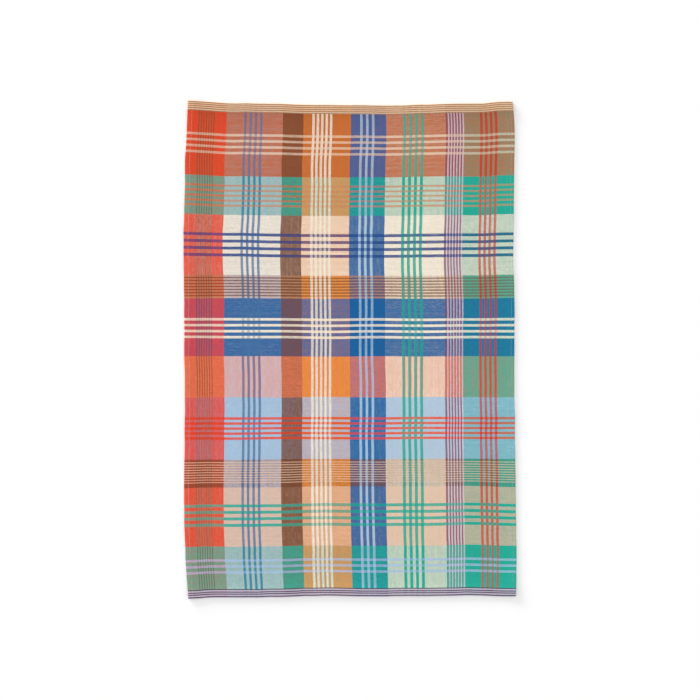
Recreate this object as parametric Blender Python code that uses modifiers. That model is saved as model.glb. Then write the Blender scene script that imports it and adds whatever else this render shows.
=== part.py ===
"""Tea towel: one piece of woven cotton, about 72 x 48 cm, pressed and laid out flat, face up.

The cloth is a single solid in the shape in which it lies. All four edges are turned to the
underside and sewn down: narrow hems along the two long sides, wider ones across the two ends.
The cloth is therefore thicker along its edges, and thickest in its corners. The turned layers
lie on the table and lift the cloth beside them, which settles back onto the table a little
further in. The outline is uneven: the corners flare, sewing has drawn the ends in, and the
long sides wander. A few low ripples stand off the table, and the rest of the cloth touches it.

Metres, +Z up. +Y runs along the cloth to its upper end, and +X across it to the right. The
origin is on the table, under the middle of the cloth's box.
"""

import math
from collections import namedtuple

import bmesh
import bpy
from mathutils import Vector

MM = 0.001

# The cloth between the straight lines that its edges follow.
WIDTH = 481 * MM
LENGTH = 718 * MM

# Hems: how far each is turned in, and the thickness of the cloth with and without them.
LEFT_HEM = 8 * MM
RIGHT_HEM = 6.2 * MM
UPPER_HEM = 13.7 * MM
LOWER_HEM = 12.4 * MM
CLOTH_THICK = 1.0 * MM
SIDE_TURN_THICK = 0.8 * MM
END_TURN_THICK = 1.2 * MM
CORNER_THICK = CLOTH_THICK + SIDE_TURN_THICK + END_TURN_THICK

# A hem's inner fold drops off over FOLD_RUN, and beside it the cloth comes back to the table
# over SETTLE. The folds round the rim, sharper than FOLD_ANGLE as cut, are rounded.
FOLD_RUN = 0.9 * MM
SETTLE = 20 * MM
EDGE_ROUND = 0.6 * MM
EDGE_STEPS = 2
FOLD_ANGLE = math.radians(70)

# The grid's lines: at these shares of SETTLE beside each hem, and about CELL apart elsewhere.
SETTLE_LINES = (0.3, 0.6, 1.0)
CELL = 22 * MM

# Each edge as it wanders: along is the distance from its left or upper end, and out is how
# far it stands outside its straight line, both in millimetres.
EdgePoint = namedtuple("EdgePoint", "along out")

LEFT_EDGE = (
    EdgePoint(0, -5.2),
    EdgePoint(40, -3.3),
    EdgePoint(82, -0.9),
    EdgePoint(143, 0.0),
    EdgePoint(195, 1.7),
    EdgePoint(250, 1.2),
    EdgePoint(306, 0.6),
    EdgePoint(367, 0.4),
    EdgePoint(408, -0.5),
    EdgePoint(470, -0.1),
    EdgePoint(560, 0.8),
    EdgePoint(612, 0.4),
    EdgePoint(673, -2.1),
    EdgePoint(718, -5.6),
)
RIGHT_EDGE = (
    EdgePoint(0, -2.9),
    EdgePoint(24, -0.4),
    EdgePoint(60, 0.4),
    EdgePoint(100, -0.4),
    EdgePoint(190, -1.0),
    EdgePoint(225, -1.7),
    EdgePoint(270, -0.1),
    EdgePoint(306, 0.2),
    EdgePoint(410, -0.1),
    EdgePoint(460, 0.8),
    EdgePoint(500, 1.1),
    EdgePoint(572, 1.9),
    EdgePoint(626, 2.7),
    EdgePoint(694, 3.1),
    EdgePoint(718, 2.1),
)
UPPER_EDGE = (
    EdgePoint(0, 5.9),
    EdgePoint(32, 3.6),
    EdgePoint(64, 1.8),
    EdgePoint(112, 1.4),
    EdgePoint(176, -0.6),
    EdgePoint(240, -1.0),
    EdgePoint(305, -1.7),
    EdgePoint(353, -0.2),
    EdgePoint(400, 1.2),
    EdgePoint(435, 1.4),
    EdgePoint(457, 3.3),
    EdgePoint(481, 3.7),
)
LOWER_EDGE = (
    EdgePoint(0, 4.0),
    EdgePoint(32, 2.1),
    EdgePoint(80, 2.0),
    EdgePoint(112, 1.6),
    EdgePoint(176, -0.1),
    EdgePoint(208, -0.5),
    EdgePoint(260, 0.3),
    EdgePoint(321, -0.1),
    EdgePoint(401, -1.0),
    EdgePoint(425, -1.2),
    EdgePoint(450, -0.3),
    EdgePoint(481, 0.3),
)

# An end edge's waves fade towards the other end: the weft straightens as this power of the way.
FADE_POWER = 3

# Low ripples, which lift the whole thickness off the table. x and y give the middle, heading
# is the crest's direction from +X in degrees, and the sizes are in millimetres.
Ripple = namedtuple("Ripple", "x y heading length width height")
RIPPLES = (
    Ripple(x=-214, y=326, heading=-52, length=120, width=70, height=0.5),
    Ripple(x=214, y=322, heading=232, length=110, width=66, height=0.4),
    Ripple(x=222, y=-318, heading=128, length=120, width=72, height=0.5),
    Ripple(x=-216, y=-322, heading=48, length=110, width=66, height=0.4),
    Ripple(x=-96, y=300, heading=84, length=150, width=58, height=0.35),
    Ripple(x=78, y=306, heading=95, length=140, width=60, height=0.4),
    Ripple(x=-52, y=-304, heading=98, length=140, width=60, height=0.35),
    Ripple(x=112, y=-300, heading=86, length=150, width=58, height=0.4),
    Ripple(x=-205, y=140, heading=8, length=130, width=80, height=0.4),
    Ripple(x=206, y=-96, heading=-6, length=130, width=84, height=0.45),
)

COTTON_COLOR = (0.44, 0.33, 0.30, 1.0)
COTTON_ROUGHNESS = 0.9


def edge_out(points, along):
    """How far an edge stands out at a distance along it: a smooth curve through its points."""
    along = min(max(along / MM, points[0].along), points[-1].along)
    first = 0
    while first < len(points) - 2 and along > points[first + 1].along:
        first += 1

    def slope(index):
        before = points[max(index - 1, 0)]
        after = points[min(index + 1, len(points) - 1)]
        return (after.out - before.out) / (after.along - before.along)

    low, high = points[first], points[first + 1]
    run = high.along - low.along
    t = (along - low.along) / run
    return MM * (
        (2 * t**3 - 3 * t**2 + 1) * low.out
        + (t**3 - 2 * t**2 + t) * run * slope(first)
        + (3 * t**2 - 2 * t**3) * high.out
        + (t**3 - t**2) * run * slope(first + 1)
    )


def outline_place(across, down):
    """Where a point of the cloth lies: across from its left edge, down from its upper end."""
    share_across = across / WIDTH
    share_down = down / LENGTH
    upper_wave = edge_out(UPPER_EDGE, across) * (1 - share_down) ** FADE_POWER
    lower_wave = edge_out(LOWER_EDGE, across) * share_down**FADE_POWER
    left_wave = edge_out(LEFT_EDGE, down) * (1 - share_across)
    right_wave = edge_out(RIGHT_EDGE, down) * share_across
    return (
        across - WIDTH / 2 - left_wave + right_wave,
        LENGTH / 2 - down + upper_wave - lower_wave,
    )


def settled(distance):
    """1 over a hem's turned layers, falling smoothly to 0 where the cloth meets the table."""
    t = min(max(distance / SETTLE, 0.0), 1.0)
    return 1 - t * t * (3 - 2 * t)


def past_side_hem(across):
    """How far a point lies inside the nearer side hem: 0 or less on the hem."""
    return min(across - LEFT_HEM, WIDTH - across - RIGHT_HEM)


def past_end_hem(down):
    """How far a point lies inside the nearer end hem: 0 or less on the hem."""
    return min(down - UPPER_HEM, LENGTH - down - LOWER_HEM)


def thickness(across, down):
    """The cloth with what is turned under it there: its two hems lie on each other in a corner."""
    side = SIDE_TURN_THICK if past_side_hem(across) < FOLD_RUN / 2 else 0.0
    end = END_TURN_THICK if past_end_hem(down) < FOLD_RUN / 2 else 0.0
    return CLOTH_THICK + side + end


def ripple_height(x, y):
    """The height of the low ripples at a place: each is a rounded crest of cosine section."""
    height = 0.0
    for ripple in RIPPLES:
        dx, dy = x - ripple.x * MM, y - ripple.y * MM
        turn = math.radians(ripple.heading)
        along = dx * math.cos(turn) + dy * math.sin(turn)
        aside = dy * math.cos(turn) - dx * math.sin(turn)
        t_along = min(abs(along) / (ripple.length * MM / 2), 1.0)
        t_aside = min(abs(aside) / (ripple.width * MM / 2), 1.0)
        crest = math.cos(t_along * math.pi / 2) ** 2 * math.cos(t_aside * math.pi / 2) ** 2
        height += ripple.height * MM * crest
    return height


def face_height(across, down):
    """The height of the cloth's upper face over the table, without the ripples."""
    side_lift = SIDE_TURN_THICK * settled(past_side_hem(across))
    end_lift = END_TURN_THICK * settled(past_end_hem(down))
    return CLOTH_THICK + side_lift + end_lift


def lines_by_edge(hem):
    """Distances in from an edge to the grid's lines on its hem and where the cloth settles."""
    foot = hem + FOLD_RUN
    return [0.0, hem, foot] + [foot + SETTLE * share for share in SETTLE_LINES]


def grid_lines(total, near_hem, far_hem):
    """The grid's lines across one direction: close at each hem's fold, even between them."""
    near = lines_by_edge(near_hem)
    far = [total - place for place in reversed(lines_by_edge(far_hem))]
    start, end = near[-1], far[0]
    cells = round((end - start) / CELL)
    even = [start + (end - start) * step / cells for step in range(1, cells)]
    return near + even + far


def face_points(columns, rows):
    """The upper face's points, row by row from the upper end, with the cloth's thickness."""
    found = []
    for down in rows:
        for across in columns:
            x, y = outline_place(across, down)
            z = face_height(across, down) + ripple_height(x, y)
            found.append((Vector((x, y, z)), thickness(across, down)))
    low_x, high_x = min(p.x for p, _ in found), max(p.x for p, _ in found)
    low_y, high_y = min(p.y for p, _ in found), max(p.y for p, _ in found)
    middle = Vector(((low_x + high_x) / 2, (low_y + high_y) / 2, 0.0))
    return [(point - middle, thick) for point, thick in found]


def face_mesh(columns, rows, points):
    """The upper face as an open sheet: a grid with its points moved to their places."""
    sheet = bmesh.new()
    bmesh.ops.create_grid(sheet, x_segments=len(columns) - 1, y_segments=len(rows) - 1, size=1)
    layers = sheet.verts.layers.deform.verify()
    by_row = sorted(sheet.verts, key=lambda v: (-round(v.co.y, 5), round(v.co.x, 5)))
    for vert, (place, thick) in zip(by_row, points):
        vert.co = place
        vert[layers][0] = thick / CORNER_THICK
    mesh = bpy.data.meshes.new("cloth")
    sheet.to_mesh(mesh)
    sheet.free()
    mesh.shade_smooth()
    return mesh


def cotton_material():
    material = bpy.data.materials.new("woven_cotton")
    material.use_nodes = True
    shader = material.node_tree.nodes["Principled BSDF"]
    shader.inputs["Base Color"].default_value = COTTON_COLOR
    shader.inputs["Roughness"].default_value = COTTON_ROUGHNESS
    shader.inputs["Metallic"].default_value = 0.0
    return material


def make_cloth(collection):
    columns = grid_lines(WIDTH, LEFT_HEM, RIGHT_HEM)
    rows = grid_lines(LENGTH, UPPER_HEM, LOWER_HEM)
    mesh = face_mesh(columns, rows, face_points(columns, rows))
    mesh.materials.append(cotton_material())
    cloth = bpy.data.objects.new("cloth", mesh)
    cloth.vertex_groups.new(name="layers")
    collection.objects.link(cloth)

    body = cloth.modifiers.new("layers", "SOLIDIFY")
    body.thickness = CORNER_THICK
    body.offset = -1.0
    body.vertex_group = "layers"
    body.use_rim = True

    folds = cloth.modifiers.new("rounded folds", "BEVEL")
    folds.width = EDGE_ROUND
    folds.segments = EDGE_STEPS
    folds.limit_method = "ANGLE"
    folds.angle_limit = FOLD_ANGLE


def main():
    for left_over in list(bpy.data.objects):
        bpy.data.objects.remove(left_over)
    collection = bpy.data.collections.new("tea_towel")
    bpy.context.scene.collection.children.link(collection)
    make_cloth(collection)


main()
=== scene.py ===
"""Tea towel, its looks: one woven cotton cloth with turned hems and its sewing, laid out flat.

The cloth replaces the frame's plain solid and follows the same edges, hems and ripples at a
finer grain: rounded outer folds, hems turned to the underside, layers that show at the ends of
the end hems, a groove under each row of sewing and small puckers beside it. Its check is a
material of woven threads: coloured ends and picks, numbered from the cloth's upper left corner,
cross in plain weave.

A place on the cloth is given by how far across it lies from the left edge and how far down from
the upper end. Metres, +Z up, in the frame's own axes: +Y to the upper end and +X across.
"""

import math
from collections import namedtuple

import bpy
import numpy as np
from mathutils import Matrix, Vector


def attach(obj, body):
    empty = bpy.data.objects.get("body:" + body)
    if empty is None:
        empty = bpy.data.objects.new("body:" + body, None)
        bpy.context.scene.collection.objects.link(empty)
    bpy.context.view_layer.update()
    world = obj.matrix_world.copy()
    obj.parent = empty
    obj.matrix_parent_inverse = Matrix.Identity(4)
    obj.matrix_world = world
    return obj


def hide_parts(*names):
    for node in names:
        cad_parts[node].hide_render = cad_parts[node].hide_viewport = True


MM = 0.001

# ---------------------------------------------------------------- sizes shared with the solids

# The cloth's size between the straight lines that its edges wander about.
WIDTH = 481 * MM
LENGTH = 718 * MM

# How wide each hem is, how thick the cloth is, and what the layers turned under it add.
LEFT_HEM = 8 * MM
RIGHT_HEM = 6.2 * MM
UPPER_HEM = 13.7 * MM
LOWER_HEM = 12.4 * MM
CLOTH_THICK = 1.0 * MM
SIDE_TURN_THICK = 0.8 * MM
END_TURN_THICK = 1.2 * MM

# How far past a hem's inner fold the cloth is back on the table.
SETTLE = 20 * MM

# Each edge as it wanders: along is the distance from its left or upper end, and out is how
# far it stands outside its straight line, both in millimetres.
EdgePoint = namedtuple("EdgePoint", "along out")

LEFT_EDGE = (
    EdgePoint(0, -5.2),
    EdgePoint(40, -3.3),
    EdgePoint(82, -0.9),
    EdgePoint(143, 0.0),
    EdgePoint(195, 1.7),
    EdgePoint(250, 1.2),
    EdgePoint(306, 0.6),
    EdgePoint(367, 0.4),
    EdgePoint(408, -0.5),
    EdgePoint(470, -0.1),
    EdgePoint(560, 0.8),
    EdgePoint(612, 0.4),
    EdgePoint(673, -2.1),
    EdgePoint(718, -5.6),
)
RIGHT_EDGE = (
    EdgePoint(0, -2.9),
    EdgePoint(24, -0.4),
    EdgePoint(60, 0.4),
    EdgePoint(100, -0.4),
    EdgePoint(190, -1.0),
    EdgePoint(225, -1.7),
    EdgePoint(270, -0.1),
    EdgePoint(306, 0.2),
    EdgePoint(410, -0.1),
    EdgePoint(460, 0.8),
    EdgePoint(500, 1.1),
    EdgePoint(572, 1.9),
    EdgePoint(626, 2.7),
    EdgePoint(694, 3.1),
    EdgePoint(718, 2.1),
)
UPPER_EDGE = (
    EdgePoint(0, 5.9),
    EdgePoint(32, 3.6),
    EdgePoint(64, 1.8),
    EdgePoint(112, 1.4),
    EdgePoint(176, -0.6),
    EdgePoint(240, -1.0),
    EdgePoint(305, -1.7),
    EdgePoint(353, -0.2),
    EdgePoint(400, 1.2),
    EdgePoint(435, 1.4),
    EdgePoint(457, 3.3),
    EdgePoint(481, 3.7),
)
LOWER_EDGE = (
    EdgePoint(0, 4.0),
    EdgePoint(32, 2.1),
    EdgePoint(80, 2.0),
    EdgePoint(112, 1.6),
    EdgePoint(176, -0.1),
    EdgePoint(208, -0.5),
    EdgePoint(260, 0.3),
    EdgePoint(321, -0.1),
    EdgePoint(401, -1.0),
    EdgePoint(425, -1.2),
    EdgePoint(450, -0.3),
    EdgePoint(481, 0.3),
)

# An end edge's waves fade towards the other end, as this power of the share of the way left.
FADE_POWER = 3

# Low ripples, which lift the whole thickness off the table. x and y give a ripple's middle,
# heading is its crest's direction from +X in degrees, and all lengths are in millimetres.
Ripple = namedtuple("Ripple", "x y heading length width height")
RIPPLES = (
    Ripple(x=-214, y=326, heading=-52, length=120, width=70, height=0.5),
    Ripple(x=214, y=322, heading=232, length=110, width=66, height=0.4),
    Ripple(x=222, y=-318, heading=128, length=120, width=72, height=0.5),
    Ripple(x=-216, y=-322, heading=48, length=110, width=66, height=0.4),
    Ripple(x=-96, y=300, heading=84, length=150, width=58, height=0.35),
    Ripple(x=78, y=306, heading=95, length=140, width=60, height=0.4),
    Ripple(x=-52, y=-304, heading=98, length=140, width=60, height=0.35),
    Ripple(x=112, y=-300, heading=86, length=150, width=58, height=0.4),
    Ripple(x=-205, y=140, heading=8, length=130, width=80, height=0.4),
    Ripple(x=206, y=-96, heading=-6, length=130, width=84, height=0.45),
)

# ---------------------------------------------------------------- sizes of the finer cloth

# The rim bulges out by RIM from the last line of the upper and lower faces to the cloth's true
# edge, and at the corners by less, as this share.
RIM = 0.9 * MM
RIM_STEPS = 12
CORNER_BULGE = 0.8
# At both ends of an end hem its layers show: each bulges out, and the gaps between them reach
# out by this share. They begin to show over this far from the hem's inner fold.
LAYERS_IN_END_FOLD = 3
LAYER_GAP_BULGE = 0.25
LAYERS_FADE = 1 * MM

# Beside a hem the cloth drops by this share over QUICK_SETTLE, and by the rest over SETTLE.
QUICK_DROP = 0.45
QUICK_SETTLE = SETTLE / 4
# Under the cloth, the inner fold of a hem's turned layers is round. 1 is a full quarter circle.
FOLD_ROUND = 0.96

# Sewing: how far inside each hem's inner fold a row runs, and the grooves that it pulls in
# both faces.
ROW_INSIDE_FOLD = 1.4 * MM
GROOVE_DEEP = 0.2 * MM
BACK_GROOVE_DEEP = 0.4 * MM
GROOVE_WIDE = 0.9 * MM
# How far a row stops short: an end hem's row of the side edges, and a side hem's row of the two
# ends of the cloth on its face, but on its back of the end hems' turned layers.
END_ROW_SHORT = 1.2 * MM
FACE_ROW_SHORT = 1.5 * MM
BACK_ROW_SHORT = max(UPPER_HEM, LOWER_HEM) + 1 * MM

# A stitch arches over the cloth by its crown and dips into it at its ends, where the thread is
# drawn thin. Stitches are a little uneven along the row, and skew to its sides.
STITCH_PITCH = 3.1 * MM
STITCH_LONG = 2.5 * MM
STITCH_CROWN = 0.12 * MM
STITCH_DIP = 0.2 * MM
STITCH_UNEVEN = 0.12 * MM
STITCH_SKEW = 0.1 * MM
THREAD_RADIUS = 0.17 * MM
THREAD_TAPER = 0.8
STITCH_RINGS = 6
STITCH_SIDES = 6

# Fine unevenness: of the edges, of the sewn hems, of the pressed cloth between them, and of the
# threads' own course.
EDGE_WAVER = 0.28 * MM
EDGE_WAVER_PITCH = 17 * MM
PUCKER_RISE = 0.32 * MM
PUCKER_PITCH = 8 * MM
PUCKER_REACH = 11 * MM
PRESSED_RISE = 0.3 * MM
PRESSED_PITCH = 46 * MM
WEAVE_WANDER = 0.7 * MM
WEAVE_WANDER_PITCH = 70 * MM

# The mesh's lines: about CELL apart over the cloth and HEM_CELL apart on a hem, one on each row
# of sewing and some beside it, some down the round inner fold, as shares of its radius, and
# some past it.
CELL = 3.3 * MM
HEM_CELL = 2.4 * MM
BESIDE_ROW = 0.8 * GROOVE_WIDE
FOLD_LINES = (0.75, 0.4, 0.12)
PAST_FOLD_LINES = (0.02 * MM, 0.8 * MM, 2.2 * MM, 4.2 * MM, 7 * MM)

# How many places along each edge are tried to find the outline's box, about one a millimetre.
BOX_PLACES_ACROSS = 484
BOX_PLACES_DOWN = 721

# Seeds of all that is random. Each row of sewing adds its number, from 0 to 3.
UPPER_EDGE_SEED = 11
LOWER_EDGE_SEED = 12
LEFT_EDGE_SEED = 13
RIGHT_EDGE_SEED = 14
PRESSED_SEED = 21
LEFT_PUCKERS_SEED = 22
RIGHT_PUCKERS_SEED = 23
UPPER_PUCKERS_SEED = 24
LOWER_PUCKERS_SEED = 25
WANDER_ACROSS_SEED = 31
WANDER_DOWN_SEED = 32
FACE_SEWING_SEED = 41
BACK_SEWING_SEED = 51
WARP_SEED = 0.3
WEFT_SEED = 5000.3

# ---------------------------------------------------------------- the woven check

END_PITCH = 0.72 * MM
PICK_PITCH = 0.72 * MM
# The baking map: each of its pixels is one crossing of threads, so that a baked colour is never
# caught between two threads, and this many pixels are free before the first thread.
MAP_PIXELS = 1024
MAP_FREE = 13

YARNS = {
    "red": "#EE4424",
    "coral": "#F08058",
    "deep red": "#C83830",
    "orange": "#F59438",
    "brown": "#7E4A2E",
    "rust": "#C2622E",
    "tan": "#C58F68",
    "nut brown": "#AE7C56",
    "wheat": "#F2C8A2",
    "peach": "#E8C0A4",
    "cream": "#FCF0DC",
    "lilac": "#D2CFDA",
    "pale blue": "#A4C8E6",
    "blue": "#0862A2",
    "navy": "#28488C",
    "teal": "#1EB09A",
    "steel": "#4E7AA8",
    "mauve": "#8E4A6A",
    "dusk": "#C6BDD1",
    "plum": "#483755",
}

# Bands of ends from the left edge and of picks from the upper end. heft is how strongly a
# yarn covers what it crosses. Where the blocks of both bands have the same sign the ends cover
# more, and where the signs differ the picks do.
Band = namedtuple("Band", "threads yarn heft block")
# Lines laid over the bands: count lines of wide threads, one every so many.
Lines = namedtuple("Lines", "start count every wide yarn heft")

WARP_BANDS = (
    Band(80, "red", 0.72, 1),
    Band(116, "lilac", 0.40, -1),
    Band(42, "brown", 0.70, 1),
    Band(97, "orange", 0.60, -1),
    Band(72, "blue", 0.74, 1),
    Band(121, "cream", 0.40, -1),
    Band(36, "mauve", 0.60, 1),
    Band(104, "teal", 0.70, -1),
)
WARP_LINES = (
    Lines(24, 7, 5, 2, "brown", 0.95),
    Lines(116, 4, 11, 5, "steel", 1.00),
    Lines(256, 5, 9, 5, "cream", 1.05),
    Lines(354, 3, 12, 5, "pale blue", 1.00),
    Lines(441, 4, 12, 6, "teal", 1.10),
    Lines(532, 6, 6, 3, "lilac", 0.90),
    Lines(598, 4, 10, 5, "deep red", 0.95),
)
WEFT_BANDS = (
    Band(19, "wheat", 1.90, 0),
    Band(128, "rust", 0.60, 1),
    Band(78, "teal", 0.70, -1),
    Band(122, "cream", 0.44, 1),
    Band(47, "tan", 0.60, -1),
    Band(117, "blue", 0.70, 1),
    Band(83, "coral", 0.60, -1),
    Band(125, "pale blue", 0.50, 1),
    Band(56, "brown", 0.65, -1),
    Band(119, "peach", 0.45, 1),
    Band(86, "teal", 0.70, -1),
    Band(17, "dusk", 1.90, 0),
)
WEFT_LINES = (
    Lines(1, 5, 4, 2, "nut brown", 2.40),
    Lines(62, 4, 12, 5, "peach", 1.00),
    Lines(164, 5, 10, 4, "tan", 0.95),
    Lines(262, 4, 14, 6, "navy", 1.05),
    Lines(351, 7, 6, 3, "brown", 0.90),
    Lines(434, 4, 12, 5, "cream", 1.05),
    Lines(634, 5, 10, 5, "red", 1.00),
    Lines(724, 9, 5, 2, "peach", 0.95),
    Lines(809, 4, 13, 6, "teal", 1.05),
    Lines(920, 3, 12, 5, "pale blue", 1.00),
    Lines(980, 4, 4.5, 2.4, "plum", 2.40),
)

# The share of warp that shows at a crossing is a half, and more by these gains on how much more
# heft it has and on the blocks. Each yarn shows by at least LEAST_SHARE.
HEFT_GAIN = 0.62
BLOCK_GAIN = 0.25
LEAST_SHARE = 0.05
# The yarn on top gives this much of a crossing's height, and the one below it the rest.
CROWN_HIGH = 0.8

# Slubs, the thick and thin places of a yarn: how long they are, how much finer unevenness is in
# them, how unlike neighbouring threads are, and how far slubs change a yarn's cover, shade,
# roughness and height.
SLUB_LONG = 13 * MM
SLUB_DETAIL = 5.0
SLUB_ROUGHNESS = 0.85
SLUB_SPREAD = 1.37
SLUB_COVER = 0.95
SLUB_SHADE = 0.5
SLUB_DULLER = 0.2
SLUB_HIGH = 0.8

# Shade of the yarns at their sides and how much lighter they are on top, painted shade that
# darkens the grooves between threads; how far whole threads differ in thickness and crossings
# and washed patches in shade, and how much lighter the side hems are, which fades over HEM_FADE
# about their inner folds.
YARN_SHADE = 0.674
GROOVE_PAINTED_SHADE = 0.22
THREAD_APART = 0.13
CROSSING_APART = 0.14
WASH_APART = 0.06
HEM_LIGHTER = 0.03
HEM_FADE = 2 * MM
# Washed patches to the metre, and a number above the count of picks, which numbers crossings.
WASH_SCALE = 22.0
PAST_PICKS = 1000.0

COTTON_ROUGHNESS = 0.78
COTTON_SPECULAR = 0.25
COTTON_SHEEN = 0.12
COTTON_SHEEN_ROUGHNESS = 0.5
COTTON_BUMP = 0.7
YARN_HIGH = 0.11 * MM

# Sewing thread: its colour and shade, its diagonal twist and its fuzz.
THREAD_COLOR = "#B9C9C8"
THREAD_SHADE = 0.66
THREAD_ROUGHNESS = 0.6
THREAD_SHEEN = 0.1
THREAD_BUMP = 0.5
TWIST_SCALE = 900.0
TWIST_UNEVEN = 0.6
TWIST_SHADE = 0.22
TWIST_HIGH = 0.05 * MM
FUZZ_SCALE = 700.0
FUZZ_SHADE = 0.2
FUZZ_DULLER = 0.2

# ---------------------------------------------------------------- the view and its light

# The photo's frame is square, VIEW_SIDE at the table, and seen from straight above. SENSOR is
# in millimetres.
VIEW_SIDE = 1.0217
CAMERA_HIGH = 3.2
CAMERA_OFF_MIDDLE = (0.1 * MM, -0.5 * MM)
SENSOR = 36.0

FLOOR_SIZE = 8
FLOOR_SHADE = 0.95

# A white sky all round, and a broad window that stands far off and low to the upper left.
SKY_COLOR = (1.0, 1.0, 1.0, 1.0)
SKY_STRENGTH = 0.9
WINDOW_PLACE = (-37.7, 41.8, 8.7)
WINDOW_SIZE = (35.2, 9.2)
WINDOW_POWER = 35300.0


# ---------------------------------------------------------------- shape of the cloth


def smooth(share):
    """0 below 0 and 1 above 1, with a smooth rise between them."""
    share = np.clip(share, 0.0, 1.0)
    return share * share * (3 - 2 * share)


def wander(at, pitch, seed):
    """A smooth random curve between -1 and 1 over distances at, with a bend every pitch."""
    place = np.maximum(at / pitch, 0.0)
    knots = np.random.default_rng(seed).uniform(-1, 1, int(place.max()) + 2)
    first = place.astype(int)
    share = smooth(place - first)
    return knots[first] * (1 - share) + knots[first + 1] * share


def wander_over(across, down, pitch, seed):
    """A smooth random surface between -1 and 1, with a bend every pitch both ways."""
    place_across = np.maximum(across / pitch, 0.0)
    place_down = np.maximum(down / pitch, 0.0)
    size = (int(place_down.max()) + 2, int(place_across.max()) + 2)
    knots = np.random.default_rng(seed).uniform(-1, 1, size)
    row, column = place_down.astype(int), place_across.astype(int)
    past_row, past_column = smooth(place_down - row), smooth(place_across - column)
    upper = knots[row, column] * (1 - past_column) + knots[row, column + 1] * past_column
    lower = knots[row + 1, column] * (1 - past_column) + knots[row + 1, column + 1] * past_column
    return upper * (1 - past_row) + lower * past_row


def edge_out(points, along):
    """How far an edge stands out at distances along it: a smooth curve through its points."""
    at = np.array([point.along for point in points]) * MM
    out = np.array([point.out for point in points]) * MM
    order = np.arange(len(points))
    before = np.maximum(order - 1, 0)
    after = np.minimum(order + 1, len(points) - 1)
    slope = (out[after] - out[before]) / (at[after] - at[before])
    along = np.clip(along, at[0], at[-1])
    low = np.clip(np.searchsorted(at, along, "right") - 1, 0, len(points) - 2)
    run = at[low + 1] - at[low]
    share = (along - at[low]) / run
    return (
        (2 * share**3 - 3 * share**2 + 1) * out[low]
        + (share**3 - 2 * share**2 + share) * run * slope[low]
        + (3 * share**2 - 2 * share**3) * out[low + 1]
        + (share**3 - share**2) * run * slope[low + 1]
    )


def edge_wave(points, along, seed):
    """An edge's wandering, with its fine waver."""
    return edge_out(points, along) + EDGE_WAVER * wander(along, EDGE_WAVER_PITCH, seed)


def outline_place(across, down):
    """Where points of the cloth lie, from their distances across and down it."""
    share_across = across / WIDTH
    share_down = down / LENGTH
    upper_wave = edge_wave(UPPER_EDGE, across, UPPER_EDGE_SEED) * (1 - share_down) ** FADE_POWER
    lower_wave = edge_wave(LOWER_EDGE, across, LOWER_EDGE_SEED) * share_down**FADE_POWER
    left_wave = edge_wave(LEFT_EDGE, down, LEFT_EDGE_SEED) * (1 - share_across)
    right_wave = edge_wave(RIGHT_EDGE, down, RIGHT_EDGE_SEED) * share_across
    x = across - WIDTH / 2 - left_wave + right_wave
    y = LENGTH / 2 - down + upper_wave - lower_wave
    return x, y


def box_middle():
    """The middle of the outline's box, which the frame's box is centred on."""
    along_width = np.linspace(0, WIDTH, BOX_PLACES_ACROSS)
    along_length = np.linspace(0, LENGTH, BOX_PLACES_DOWN)
    left, _ = outline_place(np.zeros_like(along_length), along_length)
    right, _ = outline_place(np.full_like(along_length, WIDTH), along_length)
    _, upper = outline_place(along_width, np.zeros_like(along_width))
    _, lower = outline_place(along_width, np.full_like(along_width, LENGTH))
    return (left.min() + right.max()) / 2, (upper.max() + lower.min()) / 2


BOX_MIDDLE = box_middle()


def ripple_height(x, y):
    """The height of the low ripples at a place: each is a rounded crest of cosine section."""
    height = np.zeros_like(x)
    for ripple in RIPPLES:
        off_x, off_y = x - ripple.x * MM, y - ripple.y * MM
        turn = math.radians(ripple.heading)
        along = off_x * math.cos(turn) + off_y * math.sin(turn)
        aside = off_y * math.cos(turn) - off_x * math.sin(turn)
        share_along = np.minimum(np.abs(along) / (ripple.length * MM / 2), 1.0)
        share_aside = np.minimum(np.abs(aside) / (ripple.width * MM / 2), 1.0)
        crest = np.cos(share_along * np.pi / 2) ** 2 * np.cos(share_aside * np.pi / 2) ** 2
        height += ripple.height * MM * crest
    return height


def past_side_hem(across):
    """How far points lie inside the nearer side hem: 0 or less on the hem."""
    return np.minimum(across - LEFT_HEM, WIDTH - across - RIGHT_HEM)


def past_end_hem(down):
    """How far points lie inside the nearer end hem: 0 or less on the hem."""
    return np.minimum(down - UPPER_HEM, LENGTH - down - LOWER_HEM)


def settled(distance):
    """1 over a hem's layers, falling to 0 where the cloth is back on the table."""
    quick, slow = smooth(distance / QUICK_SETTLE), smooth(distance / SETTLE)
    return 1 - QUICK_DROP * quick - (1 - QUICK_DROP) * slow


def near_row(distance):
    """1 on a row of sewing, falling to 0 beside it, by the distance inside the hem's fold."""
    return np.exp(-(((distance + ROW_INSIDE_FOLD) / GROOVE_WIDE) ** 2))


def puckers(along, distance, seed):
    """Small gathers that sewing leaves along a hem, by the distance inside its fold."""
    fade = np.exp(-np.abs(distance + ROW_INSIDE_FOLD) / PUCKER_REACH)
    return PUCKER_RISE * (1 + wander(along, PUCKER_PITCH, seed)) / 2 * fade


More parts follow.
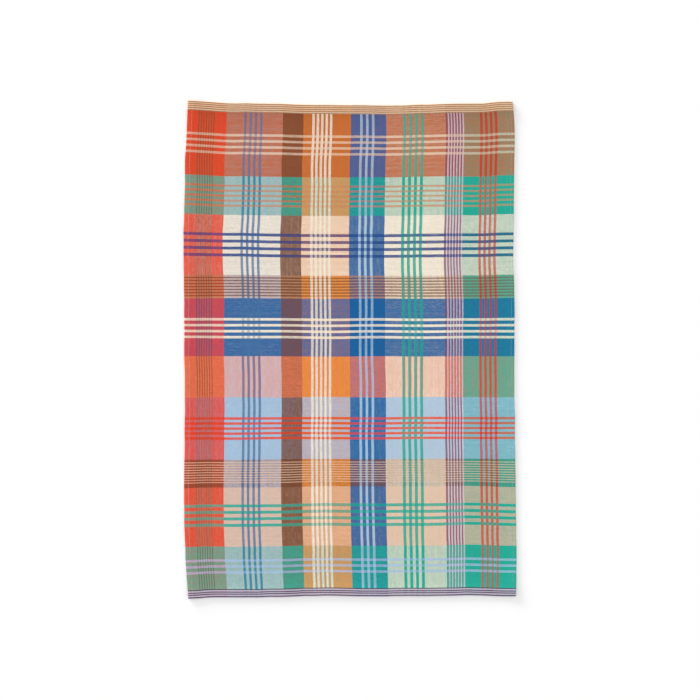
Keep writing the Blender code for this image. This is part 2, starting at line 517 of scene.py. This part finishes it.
def face_point(across, down):
    """Points of the upper face: x, y and z."""
    x, y = outline_place(across, down)
    side, end = past_side_hem(across), past_end_hem(down)
    left_puckers = puckers(down, side, LEFT_PUCKERS_SEED)
    right_puckers = puckers(down, side, RIGHT_PUCKERS_SEED)
    upper_puckers = puckers(across, end, UPPER_PUCKERS_SEED)
    lower_puckers = puckers(across, end, LOWER_PUCKERS_SEED)
    z = CLOTH_THICK + SIDE_TURN_THICK * settled(side) + END_TURN_THICK * settled(end)
    z = z + ripple_height(x, y)
    z = z + PRESSED_RISE * (1 + wander_over(across, down, PRESSED_PITCH, PRESSED_SEED)) / 2
    z = z + np.where(across < WIDTH / 2, left_puckers, right_puckers)
    z = z + np.where(down < LENGTH / 2, upper_puckers, lower_puckers)
    z = z - GROOVE_DEEP * (near_row(side) + near_row(end))
    return x - BOX_MIDDLE[0], y - BOX_MIDDLE[1], z


def turned_thick(distance, thick):
    """What a hem's turned layers add, by the distance inside its inner fold, which is round."""
    fold = np.clip((distance + thick / 2) / (thick / 2), 0.0, 1.0)
    return np.where(distance < 0, thick * np.sqrt(1 - FOLD_ROUND * fold**2), 0.0)


def back_point(across, down):
    """Points of the lower face, which lies on the table except beside hems and in ripples."""
    x, y, z = face_point(across, down)
    side, end = past_side_hem(across), past_end_hem(down)
    thick = CLOTH_THICK + turned_thick(side, SIDE_TURN_THICK) + turned_thick(end, END_TURN_THICK)
    dip = BACK_GROOVE_DEEP * np.maximum(near_row(side), near_row(end))
    return x, y, np.maximum(z - thick, 0.0) + dip


def woven_place(across, down):
    """Where the threads at points of the cloth would lie if they ran straight.

    They wander a little, but near the end hems the picks run straight along the hem.
    """
    loose = smooth(past_end_hem(down) / WEAVE_WANDER_PITCH)
    aside = wander_over(across, down, WEAVE_WANDER_PITCH, WANDER_ACROSS_SEED)
    along = wander_over(across, down, WEAVE_WANDER_PITCH, WANDER_DOWN_SEED)
    return np.stack([across + WEAVE_WANDER * aside, down + WEAVE_WANDER * along * loose], 2)


# ---------------------------------------------------------------- the cloth's mesh


def lines_by_edge(hem, turn_thick):
    """Distances in from an edge to the mesh's lines on its hem and where the cloth settles."""
    row = hem - ROW_INSIDE_FOLD
    count = max(2, round(hem / HEM_CELL))
    flat = list(np.linspace(RIM, row - 2 * BESIDE_ROW, count))
    sewn = [row - BESIDE_ROW, row, row + BESIDE_ROW]
    fold = [hem - turn_thick / 2 * share for share in FOLD_LINES]
    past = [hem + distance for distance in PAST_FOLD_LINES]
    return flat + sewn + fold + past


def mesh_lines(total, near_hem, far_hem, turn_thick):
    """The mesh's lines across one direction: close on the hems, even between them."""
    near = lines_by_edge(near_hem, turn_thick)
    far = [total - place for place in reversed(lines_by_edge(far_hem, turn_thick))]
    cells = round((far[0] - near[-1]) / CELL)
    even = list(np.linspace(near[-1], far[0], cells + 1)[1:-1])
    return np.array(near + even + far)


def out_to_edges(lines, total):
    """The mesh's lines with the first and last moved out to the cloth's true edges."""
    return np.array([0.0, *lines[1:-1], total])


def rim_loop(rows, columns):
    """The rows and the columns of the boundary points, clockwise seen from above."""
    upper = [(0, column) for column in range(columns - 1)]
    right = [(row, columns - 1) for row in range(rows - 1)]
    lower = [(rows - 1, column) for column in range(columns - 1, 0, -1)]
    left = [(row, 0) for row in range(rows - 1, 0, -1)]
    return np.array(upper + right + lower + left).T


def rim_shape(layered):
    """The bulge and the fall of each ring of the rim, from the upper face to the lower.

    A bulge is how much of the way out to the true edge a ring reaches, and a fall is how much
    of the way down it lies. Both are shares, one for each boundary point. layered is 1 at the
    points where a hem's layers show and 0 where the rim is one round fold.
    """
    shape = []
    for step in range(1, RIM_STEPS):
        share = step / RIM_STEPS
        in_layer = share * LAYERS_IN_END_FOLD % 1.0
        round_layer = math.sqrt(max(1 - (2 * in_layer - 1) ** 2, 0.0))
        layer_bulge = LAYER_GAP_BULGE + (1 - LAYER_GAP_BULGE) * round_layer
        round_bulge = math.sin(math.pi * share)
        round_fall = (1 - math.cos(math.pi * share)) / 2
        bulge = round_bulge * (1 - layered) + layer_bulge * layered
        fall = round_fall * (1 - layered) + share * layered
        shape.append((bulge, fall))
    return shape


def cloth_quads(n_rows, n_columns, loop):
    """Faces of the upper side, the lower side and the rim, whose points come in that order."""
    count = n_rows * n_columns
    number = np.arange(count).reshape(n_rows, n_columns)
    upper_left, upper_right = number[:-1, :-1].ravel(), number[:-1, 1:].ravel()
    lower_left, lower_right = number[1:, :-1].ravel(), number[1:, 1:].ravel()
    face_quads = np.stack([upper_left, lower_left, lower_right, upper_right], 1)
    back_quads = np.stack([upper_left, upper_right, lower_right, lower_left], 1) + count
    edge = number[loop]
    first_ring = 2 * count + np.arange(len(edge))
    between = [first_ring + step * len(edge) for step in range(RIM_STEPS - 1)]
    rings = [edge, *between, edge + count]
    rim_quads = [
        np.stack([high, np.roll(high, -1), np.roll(low, -1), low], 1)
        for high, low in zip(rings, rings[1:])
    ]
    return np.concatenate([face_quads, back_quads, *rim_quads])


def from_nearer_face(rings):
    """How far each inner ring of a rim lies from the nearer face, along the rim's surface."""
    runs = np.linalg.norm(np.diff(rings, axis=0), axis=2)
    from_top = np.cumsum(runs, 0)[:-1]
    return np.minimum(from_top, sum(runs) - from_top)


def baking_places(flat):
    """Places on the baking map for places on the flat cloth, in metres."""
    across, down = flat.T
    u = (MAP_FREE + across / END_PITCH) / MAP_PIXELS
    v = 1 - (MAP_FREE + down / PICK_PITCH) / MAP_PIXELS
    return np.stack([u, v], 1)


def make_cloth():
    """The cloth, with its thread map, its baking map and how much each point is side hem."""
    columns = mesh_lines(WIDTH, LEFT_HEM, RIGHT_HEM, SIDE_TURN_THICK)
    rows = mesh_lines(LENGTH, UPPER_HEM, LOWER_HEM, END_TURN_THICK)
    across, down = np.meshgrid(columns, rows)
    face = np.stack(face_point(across, down), 2)
    back = np.stack(back_point(across, down), 2)

    # The rim: each boundary point bulges out to the true edge and back, from top to bottom.
    row, column = rim_loop(len(rows), len(columns))
    loop = (row, column)
    high, low = face[loop], back[loop]
    edge_across = out_to_edges(columns, WIDTH)[column]
    edge_down = out_to_edges(rows, LENGTH)[row]
    edge_x, edge_y = outline_place(edge_across, edge_down)
    edge = np.stack([edge_x - BOX_MIDDLE[0], edge_y - BOX_MIDDLE[1], high[:, 2]], 1)
    at_side = (column == 0) | (column == len(columns) - 1)
    at_end = (row == 0) | (row == len(rows) - 1)
    at_corner = np.where(at_side & at_end, CORNER_BULGE, 1.0)
    layered = at_side * smooth(-past_end_hem(rows[row]) / LAYERS_FADE)
    bulges, rings = [], []
    for bulge, fall in rim_shape(layered):
        out = (at_corner * bulge)[:, None]
        bulges.append(out)
        rings.append(high + (edge - high) * out + (low - high) * fall[:, None])

    points = np.concatenate([face.reshape(-1, 3), back.reshape(-1, 3), *rings])
    quads = cloth_quads(len(rows), len(columns), loop)
    mesh = new_mesh("woven_cloth", points, quads.tolist())
    corners = quads.ravel()

    # The thread map, in metres across and down the flat cloth.
    woven = woven_place(across, down)
    face_woven = woven.reshape(-1, 2)
    towards = np.stack([edge_across - columns[column], edge_down - rows[row]], 1)
    rim_woven = [woven[loop] + towards * out for out in bulges]
    threads = np.concatenate([face_woven, face_woven, *rim_woven])
    add_map(mesh, "threads", threads[corners])

    # The baking map: the back lies under the face, and both halves of the rim unroll beside.
    from_face = from_nearer_face([high, *rings, low])
    rim_flat = [woven[loop] + np.sign(towards) * run[:, None] for run in from_face]
    flat = np.concatenate([face_woven, face_woven, *rim_flat])
    add_map(mesh, "OFBake", baking_places(flat)[corners])

    hem = smooth(0.5 - past_side_hem(across) / HEM_FADE).ravel()
    rim_hem = np.ones(len(row) * len(rings))
    add_values(mesh, "side_hem", np.concatenate([hem, hem, rim_hem]))
    return add_object("woven_cloth", mesh)


def new_mesh(name, points, faces):
    mesh = bpy.data.meshes.new(name)
    mesh.from_pydata(points.tolist(), [], faces)
    mesh.shade_smooth()
    return mesh


def add_map(mesh, name, places):
    layer = mesh.uv_layers.new(name=name)
    layer.uv.foreach_set("vector", places.astype(np.float32).ravel())


def add_values(mesh, name, values):
    attribute = mesh.attributes.new(name, "FLOAT", "POINT")
    attribute.data.foreach_set("value", values.astype(np.float32))


def add_object(name, data):
    """A new object in the scene, with a mesh, a light or a camera as its data."""
    added = bpy.data.objects.new(name, data)
    bpy.context.scene.collection.objects.link(added)
    return added


# ---------------------------------------------------------------- sewing


def stitch_middles(start, end, surface, side, seed, shares):
    """The middle lines of a row of stitches from one place on the cloth to another.

    start and end are (across, down); side is 1 where the thread lies on the upper face and
    -1 where it lies under the back, no lower than the table. shares are places along a
    stitch, from -1 to 1.
    """
    start, end = np.array(start), np.array(end)
    run = np.linalg.norm(end - start)
    heading = (end - start) / run
    count = int(run / STITCH_PITCH)
    rng = np.random.default_rng(seed)
    uneven = rng.uniform(-STITCH_UNEVEN, STITCH_UNEVEN, count)
    skew = rng.uniform(-STITCH_SKEW, STITCH_SKEW, (count, 2))
    middle = (np.arange(count) + 0.5) * run / count + uneven
    along = middle[:, None] + shares * STITCH_LONG / 2
    aside = skew[:, :1] * (1 - shares) / 2 + skew[:, 1:] * (1 + shares) / 2
    across = start[0] + heading[0] * along - heading[1] * aside
    down = start[1] + heading[1] * along + heading[0] * aside
    x, y, z = surface(across, down)
    z = z + side * (STITCH_CROWN - (STITCH_CROWN + STITCH_DIP) * shares**4)
    return np.stack([x, y, np.maximum(z, THREAD_RADIUS)], 2)


def stitch_skins(middles, shares):
    """Points and faces of round stitches on their middle lines."""
    forward = middles[:, -1] - middles[:, 0]
    forward /= np.linalg.norm(forward, axis=1)[:, None]
    right = np.cross(forward, (0, 0, 1))
    up = np.cross(right, forward)
    turn = np.arange(STITCH_SIDES) * 2 * math.pi / STITCH_SIDES
    radius = THREAD_RADIUS * np.sqrt(1 - THREAD_TAPER * shares**4)
    circle = (
        right[:, None, None, :] * np.cos(turn)[None, None, :, None]
        + up[:, None, None, :] * np.sin(turn)[None, None, :, None]
    )
    points = middles[:, :, None, :] + circle * radius[None, :, None, None]

    number = np.arange(points[..., 0].size).reshape(points.shape[:3])
    near, far = number[:, :-1], number[:, 1:]
    sides = np.stack([near, np.roll(near, -1, 2), np.roll(far, -1, 2), far], -1)
    first_caps = number[:, 0, ::-1]
    last_caps = number[:, -1]
    faces = sides.reshape(-1, 4).tolist() + first_caps.tolist() + last_caps.tolist()
    return points.reshape(-1, 3), faces


def make_stitches(name, surface, side, rows, seed):
    """All rows of stitches on one side of the cloth, as one mesh."""
    shares = np.linspace(-1, 1, STITCH_RINGS)
    all_points, all_faces, count = [], [], 0
    for step, (start, end) in enumerate(rows):
        middles = stitch_middles(start, end, surface, side, seed + step, shares)
        points, faces = stitch_skins(middles, shares)
        all_points.append(points)
        all_faces += [[corner + count for corner in face] for face in faces]
        count += len(points)
    mesh = new_mesh(name, np.concatenate(all_points), all_faces)
    return add_object(name, mesh)


def sewing_rows(short):
    """The four rows, as (start, end) pairs; the side rows stop short of each end."""
    left, right = LEFT_HEM - ROW_INSIDE_FOLD, WIDTH - RIGHT_HEM + ROW_INSIDE_FOLD
    upper, lower = UPPER_HEM - ROW_INSIDE_FOLD, LENGTH - LOWER_HEM + ROW_INSIDE_FOLD
    return (
        ((left, short), (left, LENGTH - short)),
        ((right, short), (right, LENGTH - short)),
        ((END_ROW_SHORT, upper), (WIDTH - END_ROW_SHORT, upper)),
        ((END_ROW_SHORT, lower), (WIDTH - END_ROW_SHORT, lower)),
    )


# ---------------------------------------------------------------- materials


def linear(code):
    """A colour code such as #D2CFDA as linear red, green and blue, by the sRGB curve."""
    shades = [int(code[i : i + 2], 16) / 255 for i in (1, 3, 5)]
    return tuple(s / 12.92 if s <= 0.04045 else ((s + 0.055) / 1.055) ** 2.4 for s in shades)


class Wiring:
    """A material and what adds nodes to it. Most calls return the new node's output."""

    def __init__(self, name):
        self.material = bpy.data.materials.new(name)
        self.material.use_nodes = True
        self.tree = self.material.node_tree
        self.shader = self.tree.nodes["Principled BSDF"]

    def node(self, kind, sources, **settings):
        """A new node, with its sockets fed from sources by their names or numbers."""
        node = self.tree.nodes.new(kind)
        for name, value in settings.items():
            setattr(node, name, value)
        for key, source in sources.items():
            self.feed(node.inputs[key], source)
        return node

    def feed(self, socket, source):
        """Links a socket to an output, or sets it to a number or a colour."""
        if isinstance(source, bpy.types.NodeSocket):
            self.tree.links.new(source, socket)
        else:
            socket.default_value = source

    def surface(self, name, source):
        """Feeds one of the shader's own sockets."""
        self.feed(self.shader.inputs[name], source)

    def math(self, operation, *sources):
        return self.node("ShaderNodeMath", dict(enumerate(sources)), operation=operation).outputs[0]

    def vary(self, value, noise, apart):
        """A value with noise about 0.5 added to it, so that its extremes lie this far apart."""
        return self.math("MULTIPLY_ADD", self.math("SUBTRACT", noise, 0.5), apart, value)

    def combine(self, *sources):
        return self.node("ShaderNodeCombineXYZ", dict(enumerate(sources))).outputs[0]

    def separate(self, source):
        return self.node("ShaderNodeSeparateXYZ", {0: source}).outputs

    def shaded(self, color, shade):
        """A colour times a number."""
        sources = {0: color, 1: self.combine(shade, shade, shade)}
        return self.node("ShaderNodeVectorMath", sources, operation="MULTIPLY").outputs[0]

    def blend(self, share, low, high):
        """low where share is 0 and high where it is 1, for vectors and colours."""
        sources = {0: share, 4: low, 5: high}
        return self.node("ShaderNodeMix", sources, data_type="VECTOR").outputs[1]

    def blend_values(self, share, low, high):
        """low where share is 0 and high where it is 1, for numbers."""
        sources = {0: share, 2: low, 3: high}
        return self.node("ShaderNodeMix", sources, data_type="FLOAT").outputs[0]

    def noise(self, place, scale, detail=2.0, roughness=0.5):
        """Soft noise about 0.5 over a place's x and y."""
        sources = {"Vector": place, "Scale": scale, "Detail": detail, "Roughness": roughness}
        return self.node("ShaderNodeTexNoise", sources, noise_dimensions="2D").outputs[0]

    def white_noise(self, number):
        """A random value between 0 and 1 for each number."""
        return self.node("ShaderNodeTexWhiteNoise", {"W": number}, noise_dimensions="1D").outputs[0]

    def bump(self, height, strength, distance):
        sources = {"Height": height, "Strength": strength, "Distance": distance}
        return self.node("ShaderNodeBump", sources).outputs[0]


# What the material works out of the end, or of the pick, at a place.
Strand = namedtuple("Strand", "number color heft block slub arch")


def strand(wire, distance, along, pitch, bands, lines, seed):
    """The thread at a distance over the threads and a distance along them."""
    place = wire.math("DIVIDE", distance, pitch)
    number = wire.math("FLOOR", place)
    off_middle = wire.math("MULTIPLY_ADD", wire.math("FRACT", place), 2.0, -1.0)
    color, heft, block = striped(wire, number, bands, lines)
    slub = slubs(wire, number, along, seed)
    return Strand(number, color, heft, block, slub, arched(wire, off_middle))


def striped(wire, thread, bands, lines):
    """The colour, heft and block of a thread by its number."""
    color = linear(YARNS[bands[0].yarn])
    traits = (bands[0].heft, bands[0].block, 0.0)
    start = 0
    for before, band in zip(bands, bands[1:]):
        start += before.threads
        past = wire.math("GREATER_THAN", thread, start - 0.5)
        color = wire.blend(past, color, linear(YARNS[band.yarn]))
        traits = wire.blend(past, traits, (band.heft, band.block, 0.0))
    for group in lines:
        group_wide = (group.count - 1) * group.every + group.wide
        into = wire.math("SUBTRACT", thread, group.start)
        into_line = wire.math("FLOORED_MODULO", into, group.every)
        in_line = wire.math("LESS_THAN", into_line, group.wide - 0.5)
        begun = wire.math("GREATER_THAN", into, -0.5)
        unfinished = wire.math("LESS_THAN", into, group_wide - 0.5)
        there = wire.math("MULTIPLY", in_line, wire.math("MULTIPLY", begun, unfinished))
        color = wire.blend(there, color, linear(YARNS[group.yarn]))
        traits = wire.blend(there, traits, (group.heft, 0.0, 0.0))
    heft, block, _ = wire.separate(traits)
    return color, heft, block


def slubs(wire, thread, along, seed):
    """How thick each thread is along its length, about 0.5."""
    spread = wire.math("MULTIPLY", thread, SLUB_SPREAD)
    place = wire.combine(spread, wire.math("DIVIDE", along, SLUB_LONG), 0.0)
    uneven = wire.noise(place, 1.0, SLUB_DETAIL, SLUB_ROUGHNESS)
    own = wire.white_noise(wire.math("ADD", thread, seed))
    return wire.vary(uneven, own, THREAD_APART)


def arched(wire, off_middle):
    """How high a yarn's surface is: 1 over most of it, falling to 0 at its sides."""
    square = wire.math("MULTIPLY", off_middle, off_middle)
    return wire.math("SUBTRACT", 1.0, wire.math("MULTIPLY", square, square))


def warp_share(wire, end, pick):
    """The share of warp that shows. The slubs of the yarn that covers more tell more."""
    heft = wire.math("SUBTRACT", end.heft, pick.heft)
    block = wire.math("MULTIPLY", end.block, pick.block)
    share = wire.math("MULTIPLY_ADD", heft, HEFT_GAIN, 0.5)
    share = wire.math("MULTIPLY_ADD", block, BLOCK_GAIN, share)
    fatter_end = wire.math("SUBTRACT", end.slub, 0.5)
    thinner_pick = wire.math("SUBTRACT", 0.5, pick.slub)
    swell = wire.blend_values(share, thinner_pick, fatter_end)
    share = wire.math("MULTIPLY_ADD", swell, SLUB_COVER, share)
    return wire.math("MINIMUM", wire.math("MAXIMUM", share, LEAST_SHARE), 1 - LEAST_SHARE)


def cotton_material():
    wire = Wiring("woven_cotton")
    threads = wire.node("ShaderNodeUVMap", {}, uv_map="threads").outputs[0]
    across, down, _ = wire.separate(threads)
    end = strand(wire, across, down, END_PITCH, WARP_BANDS, WARP_LINES, WARP_SEED)
    pick = strand(wire, down, across, PICK_PITCH, WEFT_BANDS, WEFT_LINES, WEFT_SEED)

    # Plain weave: ends and picks take turns on top, by as much as the lesser of them shows.
    share = warp_share(wire, end, pick)
    turn = wire.math("FLOORED_MODULO", wire.math("ADD", end.number, pick.number), 2.0)
    upper = wire.blend_values(turn, pick.arch, end.arch)
    lower = wire.blend_values(turn, end.arch, pick.arch)
    lower_part = wire.math("MULTIPLY", lower, 1 - CROWN_HIGH)
    arch = wire.math("MULTIPLY_ADD", upper, CROWN_HIGH, lower_part)
    lesser = wire.math("MINIMUM", share, wire.math("SUBTRACT", 1.0, share))
    reach = wire.math("MULTIPLY", lesser, upper)
    to_end = wire.math("MULTIPLY_ADD", turn, 2.0, -1.0)
    seen = wire.math("MULTIPLY_ADD", reach, to_end, share)
    slub = wire.blend_values(seen, pick.slub, end.slub)

    wash = wire.noise(threads, WASH_SCALE)
    fleck = wire.white_noise(wire.math("MULTIPLY_ADD", end.number, PAST_PICKS, pick.number))
    hem = wire.node("ShaderNodeAttribute", {}, attribute_name="side_hem").outputs["Fac"]
    # Painted shade: each yarn is darker towards its sides, in the grooves between threads.
    shade = wire.math("MULTIPLY_ADD", arch, GROOVE_PAINTED_SHADE, YARN_SHADE)
    shade = wire.vary(shade, slub, SLUB_SHADE)
    shade = wire.vary(shade, wash, WASH_APART)
    shade = wire.vary(shade, fleck, CROSSING_APART)
    shade = wire.math("MULTIPLY_ADD", hem, HEM_LIGHTER, shade)
    wire.surface("Base Color", wire.shaded(wire.blend(seen, pick.color, end.color), shade))

    wire.surface("Roughness", wire.math("MULTIPLY_ADD", slub, SLUB_DULLER, COTTON_ROUGHNESS))
    wire.surface("Specular IOR Level", COTTON_SPECULAR)
    wire.surface("Sheen Weight", COTTON_SHEEN)
    wire.surface("Sheen Roughness", COTTON_SHEEN_ROUGHNESS)
    height = wire.math("MULTIPLY_ADD", slub, SLUB_HIGH, arch)
    wire.surface("Normal", wire.bump(height, COTTON_BUMP, YARN_HIGH))
    return wire.material


def thread_material():
    wire = Wiring("sewing_thread")
    place = wire.node("ShaderNodeTexCoord", {}).outputs["Object"]
    twist = wire.node(
        "ShaderNodeTexWave",
        {"Vector": place, "Scale": TWIST_SCALE, "Distortion": TWIST_UNEVEN},
        wave_type="BANDS",
        bands_direction="DIAGONAL",
    ).outputs["Fac"]
    fuzz = wire.noise(place, FUZZ_SCALE)
    shade = wire.math("MULTIPLY_ADD", fuzz, FUZZ_SHADE, THREAD_SHADE)
    shade = wire.math("MULTIPLY_ADD", twist, TWIST_SHADE, shade)
    wire.surface("Base Color", wire.shaded(linear(THREAD_COLOR), shade))
    wire.surface("Roughness", wire.math("MULTIPLY_ADD", fuzz, FUZZ_DULLER, THREAD_ROUGHNESS))
    wire.surface("Sheen Weight", THREAD_SHEEN)
    wire.surface("Normal", wire.bump(twist, THREAD_BUMP, TWIST_HIGH))
    return wire.material


def table_material():
    wire = Wiring("white_table")
    wire.surface("Base Color", (FLOOR_SHADE, FLOOR_SHADE, FLOOR_SHADE, 1.0))
    wire.surface("Roughness", 1.0)
    wire.surface("Specular IOR Level", 0.0)
    return wire.material


# ---------------------------------------------------------------- stage


def make_floor():
    bpy.ops.mesh.primitive_plane_add(size=FLOOR_SIZE)
    floor = bpy.context.object
    floor.name = "floor"
    floor.data.materials.append(table_material())
    return floor


def add_window():
    """A soft rectangular light that faces the middle of the cloth."""
    light = bpy.data.lights.new("low_window", "AREA")
    light.shape = "RECTANGLE"
    light.size, light.size_y = WINDOW_SIZE
    light.energy = WINDOW_POWER
    window = add_object("low_window", light)
    window.location = WINDOW_PLACE
    window.rotation_euler = (-Vector(WINDOW_PLACE)).to_track_quat("-Z", "Y").to_euler()


def light_the_stage():
    scene = bpy.context.scene
    scene.world = bpy.data.worlds.new("studio")
    scene.world.use_nodes = True
    sky = scene.world.node_tree.nodes["Background"]
    sky.inputs["Color"].default_value = SKY_COLOR
    sky.inputs["Strength"].default_value = SKY_STRENGTH
    add_window()
    scene.view_settings.view_transform = "Standard"


def add_camera():
    lens = bpy.data.cameras.new("camera")
    lens.sensor_width = SENSOR
    lens.lens = SENSOR * CAMERA_HIGH / VIEW_SIDE
    camera = add_object("camera", lens)
    camera.location = (*CAMERA_OFF_MIDDLE, CAMERA_HIGH)
    bpy.context.scene.camera = camera


# ---------------------------------------------------------------- the part

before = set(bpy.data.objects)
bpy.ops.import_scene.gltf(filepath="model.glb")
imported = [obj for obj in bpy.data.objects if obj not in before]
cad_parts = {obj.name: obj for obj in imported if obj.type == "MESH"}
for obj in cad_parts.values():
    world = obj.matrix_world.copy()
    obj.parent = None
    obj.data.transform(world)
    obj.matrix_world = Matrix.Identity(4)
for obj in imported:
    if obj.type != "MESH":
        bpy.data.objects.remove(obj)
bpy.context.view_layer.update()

add_camera()
cloth = make_cloth()
cloth.data.materials.append(cotton_material())
face_rows, back_rows = sewing_rows(FACE_ROW_SHORT), sewing_rows(BACK_ROW_SHORT)
face_stitches = make_stitches("face_stitches", face_point, 1, face_rows, FACE_SEWING_SEED)
back_stitches = make_stitches("back_stitches", back_point, -1, back_rows, BACK_SEWING_SEED)
thread = thread_material()
for stitches in (face_stitches, back_stitches):
    stitches.data.materials.append(thread)

for piece in (cloth, face_stitches, back_stitches):
    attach(piece, "root")
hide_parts("cloth")

floor = make_floor()
light_the_stage()
